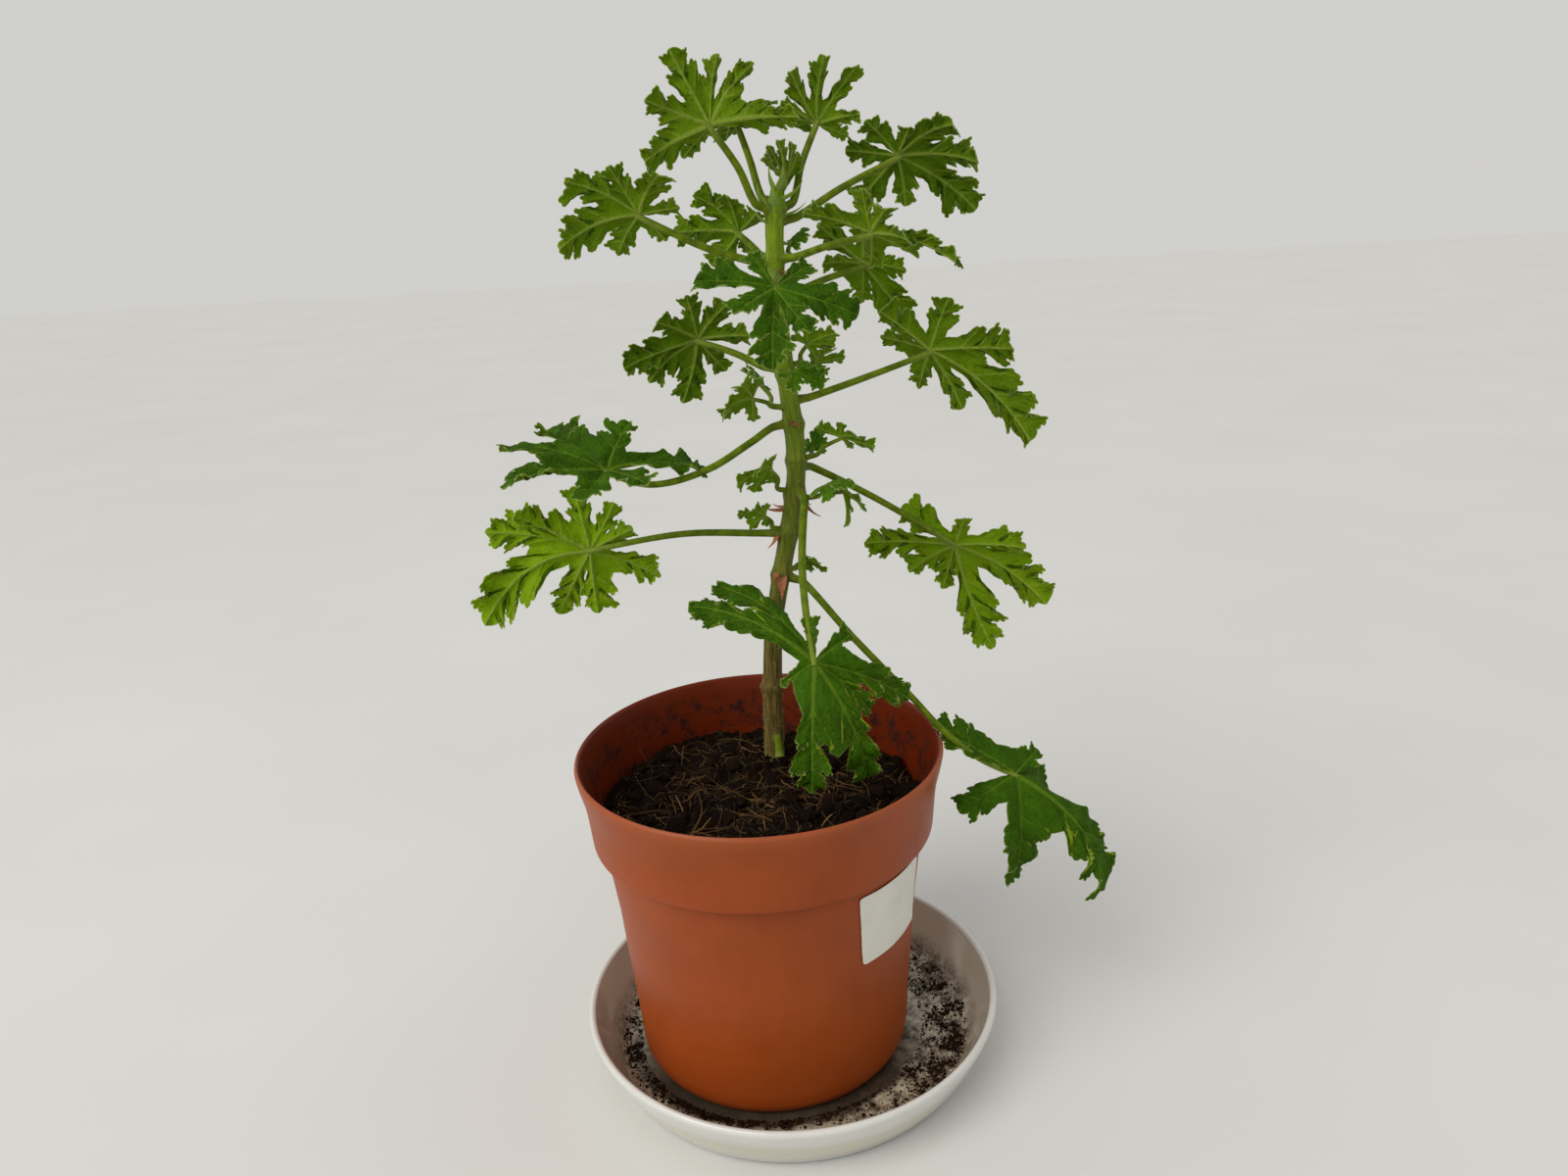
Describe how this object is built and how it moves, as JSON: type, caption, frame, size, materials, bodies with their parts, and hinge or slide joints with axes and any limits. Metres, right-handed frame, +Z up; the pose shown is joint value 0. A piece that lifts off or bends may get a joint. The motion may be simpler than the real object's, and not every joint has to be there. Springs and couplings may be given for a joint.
{
  "type": "potted scented geranium",
  "caption": "Young scented geranium with lobed, toothed leaves on long stalks, growing in a tapered plastic flower pot that stands in a round glazed saucer.",
  "frame": {"origin": "centre of the saucer's flat underside", "axes": "+Z up along the pot's height, +X to the viewer's right, +Y away from the viewer, so the side seen in the picture faces -Y"},
  "size_m": [0.23, 0.154, 0.3522],
  "materials": {
    "white_glaze": "glossy glaze",
    "terracotta_plastic": "satin",
    "peat_soil": "damp and matte",
    "sticker_paper": "smooth",
    "stem": "ridged and downy",
    "leaf": "downy",
    "young_leaf": "downy"
  },
  "bodies": {
    "root": {"saucer": "white_glaze", "pot": "terracotta_plastic", "soil": "peat_soil", "sticker": "sticker_paper", "main_stem": "stem", "cut_shoot": "young_leaf", "growing_tip": "young_leaf", "leaf_top_front": "leaf", "leaf_top_rear": "leaf", "leaf_top_right": "leaf", "leaf_upper_right": "leaf", "leaf_upper_right_low": "leaf", "leaf_upper_right_rear": "leaf", "leaf_centre_front": "leaf", "leaf_upper_left": "leaf", "leaf_upper_left_rear": "leaf", "leaf_middle_left": "leaf", "leaf_middle_right": "leaf", "leaf_lower_left_top": "leaf", "leaf_lower_left": "leaf", "leaf_lower_right": "leaf", "leaf_over_pot": "leaf", "leaf_past_rim": "leaf", "shoot_upper_left": "young_leaf", "shoot_upper_front": "young_leaf", "shoot_upper_right": "young_leaf", "shoot_middle_right": "young_leaf", "shoot_lower_right": "young_leaf", "shoot_middle_left": "young_leaf", "shoot_lower_left": "young_leaf", "shoot_low_right": "young_leaf", "shoot_top_right": "young_leaf"}
  },
  "joints": []
}
